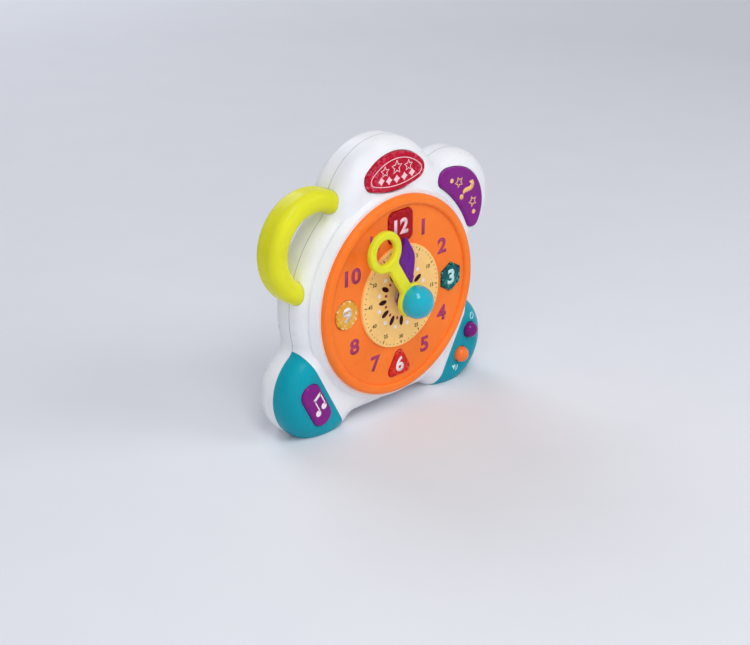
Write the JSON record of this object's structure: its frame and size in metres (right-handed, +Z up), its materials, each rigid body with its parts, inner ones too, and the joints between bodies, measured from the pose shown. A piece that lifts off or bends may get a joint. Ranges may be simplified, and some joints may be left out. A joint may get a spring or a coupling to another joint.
{
  "type": "toy learning clock",
  "caption": "Child's play clock with geared hands, push keys in the dial, lobes and feet, a side carry handle and a battery bay at the back.",
  "frame": {"origin": "on the floor under the middle of the clock, at the centre of the bounding box", "axes": "+X to the viewer's right, +Y to the back, +Z up; the dial faces -Y"},
  "size_m": [0.2084, 0.074, 0.201],
  "materials": {
    "white_abs": "white glossy ABS",
    "orange_abs": "orange ABS",
    "yellow_print": "printed yellow plastic",
    "red_lens": "translucent red",
    "teal_lens": "translucent teal",
    "amber_lens": "translucent amber",
    "hand_yellow": "yellow ABS",
    "hand_purple": "purple ABS",
    "knob_teal": "teal ABS",
    "button_red": "red translucent key",
    "button_purple": "purple key",
    "button_orange": "orange key",
    "foot_teal": "teal ABS",
    "handle_yellow": "yellow ABS",
    "gear_plastic": "natural acetal",
    "board_green": "circuit board",
    "switch_black": "switch bodies",
    "lamp_clear": "lamp resin",
    "steel": "zinc plated steel",
    "speaker_steel": "pressed steel basket",
    "speaker_paper": "pulp cone",
    "cell_case": "cell sleeves"
  },
  "bodies": {
    "clock_body": {"front_shell": "white_abs", "rear_shell": "white_abs", "battery_door": "white_abs", "dial_dish": "orange_abs", "dial_disc": "yellow_print", "foot_cap_left": "foot_teal", "foot_cap_right": "foot_teal", "carry_handle": "handle_yellow", "gear_bridge": "gear_plastic", "gear_stud": "steel", "bridge_screws": "steel", "board_screws": "steel", "housing_screws": "steel", "door_screw": "steel", "battery_contacts": "steel", "dial_board": "board_green", "lobe_board": "board_green", "ear_board": "board_green", "left_foot_board": "board_green", "right_foot_board": "board_green", "dial_switches": "switch_black", "key_switches": "switch_black", "dial_lamps": "lamp_clear", "speaker_frame": "speaker_steel", "speaker_cone": "speaker_paper", "speaker_magnet": "speaker_steel", "battery_cells": "cell_case"},
    "minute_work": {"minute_hand": "hand_yellow", "centre_knob": "knob_teal", "minute_arbor": "gear_plastic"},
    "hour_work": {"hour_hand": "hand_purple", "hour_wheel": "gear_plastic"},
    "intermediate_work": {"intermediate_wheel": "gear_plastic"},
    "clock_key": {"clock_button": "button_red"},
    "quiz_key": {"quiz_button": "button_purple"},
    "foot_key": {"foot_button": "button_purple"},
    "upper_dome_key": {"upper_dome_button": "button_purple"},
    "lower_dome_key": {"lower_dome_button": "button_orange"},
    "twelve_key": {"tile_twelve": "red_lens"},
    "three_key": {"tile_three": "teal_lens"},
    "six_key": {"tile_six": "red_lens"},
    "nine_key": {"tile_nine": "amber_lens"}
  },
  "joints": [
    {"name": "minute_turn", "type": "hinge", "parent": "clock_body", "child": "minute_work", "pos_m": [0, -0.02, 0.089], "axis": [0, 1, 0], "continuous": true},
    {"name": "hour_turn", "type": "hinge", "parent": "clock_body", "child": "hour_work", "pos_m": [0, -0.01, 0.089], "axis": [0, 1, 0], "continuous": true},
    {"name": "intermediate_turn", "type": "hinge", "parent": "clock_body", "child": "intermediate_work", "pos_m": [0.01358, 0.004, 0.10258], "axis": [0, 1, 0], "continuous": true},
    {"name": "clock_press", "type": "slide", "parent": "clock_body", "child": "clock_key", "axis": [0, 1, 0], "range_m": [0, 0.0015], "stiffness_N_per_m": 600, "springref_m": -0.001},
    {"name": "quiz_press", "type": "slide", "parent": "clock_body", "child": "quiz_key", "axis": [0, 1, 0], "range_m": [0, 0.0015], "stiffness_N_per_m": 600, "springref_m": -0.001},
    {"name": "foot_press", "type": "slide", "parent": "clock_body", "child": "foot_key", "axis": [0, 1, 0], "range_m": [0, 0.0015], "stiffness_N_per_m": 600, "springref_m": -0.001},
    {"name": "upper_dome_press", "type": "slide", "parent": "clock_body", "child": "upper_dome_key", "axis": [0, 1, 0], "range_m": [0, 0.0015], "stiffness_N_per_m": 400, "springref_m": -0.001},
    {"name": "lower_dome_press", "type": "slide", "parent": "clock_body", "child": "lower_dome_key", "axis": [0, 1, 0], "range_m": [0, 0.0015], "stiffness_N_per_m": 400, "springref_m": -0.001},
    {"name": "twelve_press", "type": "slide", "parent": "clock_body", "child": "twelve_key", "axis": [0, 1, 0], "range_m": [0, 0.0012], "stiffness_N_per_m": 500, "springref_m": -0.001},
    {"name": "three_press", "type": "slide", "parent": "clock_body", "child": "three_key", "axis": [0, 1, 0], "range_m": [0, 0.0012], "stiffness_N_per_m": 500, "springref_m": -0.001},
    {"name": "six_press", "type": "slide", "parent": "clock_body", "child": "six_key", "axis": [0, 1, 0], "range_m": [0, 0.0012], "stiffness_N_per_m": 500, "springref_m": -0.001},
    {"name": "nine_press", "type": "slide", "parent": "clock_body", "child": "nine_key", "axis": [0, 1, 0], "range_m": [0, 0.0012], "stiffness_N_per_m": 500, "springref_m": -0.001}
  ],
  "couplings": [
    {"joint": "hour_turn", "follows": "minute_turn", "ratio": 0.083333},
    {"joint": "intermediate_turn", "follows": "minute_turn", "ratio": -0.33333}
  ]
}
